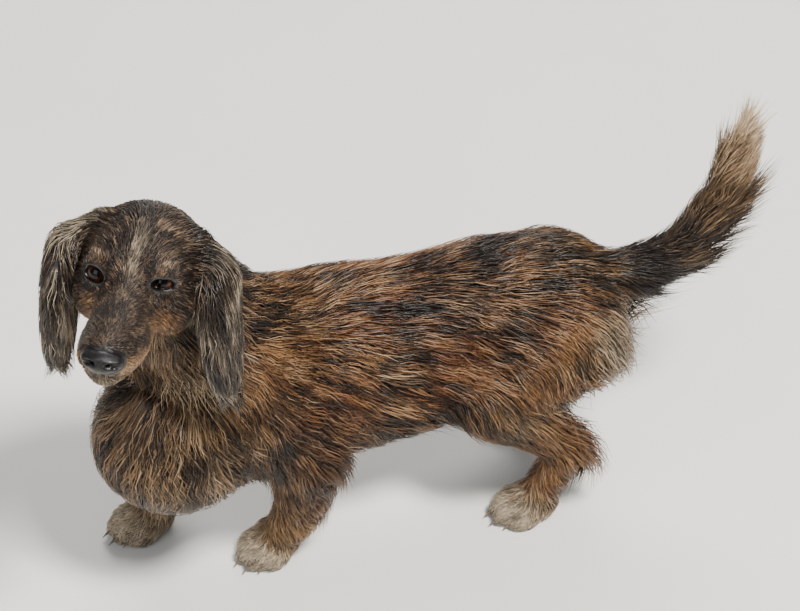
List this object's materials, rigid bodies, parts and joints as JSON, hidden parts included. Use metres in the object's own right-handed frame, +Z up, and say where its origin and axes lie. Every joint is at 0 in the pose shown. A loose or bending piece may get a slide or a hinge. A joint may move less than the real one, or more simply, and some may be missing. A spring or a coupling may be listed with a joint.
{
  "type": "life-size still model of a standing long-haired dachshund",
  "caption": "Life-size still model of a long-haired brindle dachshund, standing on four paws with its chest and head turned to its left and its plumed tail raised.",
  "frame": {"origin": "on the floor, under the middle of the model's bounding box", "axes": "+X to the front of the body along the rump, +Y to the dog's left, +Z up"},
  "size_m": [0.4894, 0.2362, 0.3175],
  "materials": {
    "coat": "long brindle coat in locks",
    "face": "short fur",
    "nose": "damp black nose leather",
    "eye": "clear cornea over a dark brown iris",
    "claw": "dark horn"
  },
  "bodies": {
    "root": {"claw_fore_left_1": "claw", "claw_fore_left_2": "claw", "claw_fore_left_3": "claw", "claw_fore_left_4": "claw", "claw_fore_right_1": "claw", "claw_fore_right_2": "claw", "claw_fore_right_3": "claw", "claw_fore_right_4": "claw", "claw_hind_left_1": "claw", "claw_hind_left_2": "claw", "claw_hind_left_3": "claw", "claw_hind_left_4": "claw", "claw_hind_right_1": "claw", "claw_hind_right_2": "claw", "claw_hind_right_3": "claw", "claw_hind_right_4": "claw", "ear_left": "coat", "ear_right": "coat", "eye_left": "eye", "eye_right": "eye", "foreleg_left": "coat", "foreleg_right": "coat", "head": "face", "hindleg_left": "coat", "hindleg_right": "coat", "neck": "coat", "nose": "nose", "paw_fore_left": "coat", "paw_fore_right": "coat", "paw_hind_left": "coat", "paw_hind_right": "coat", "tail": "coat", "torso": "coat"}
  },
  "joints": []
}
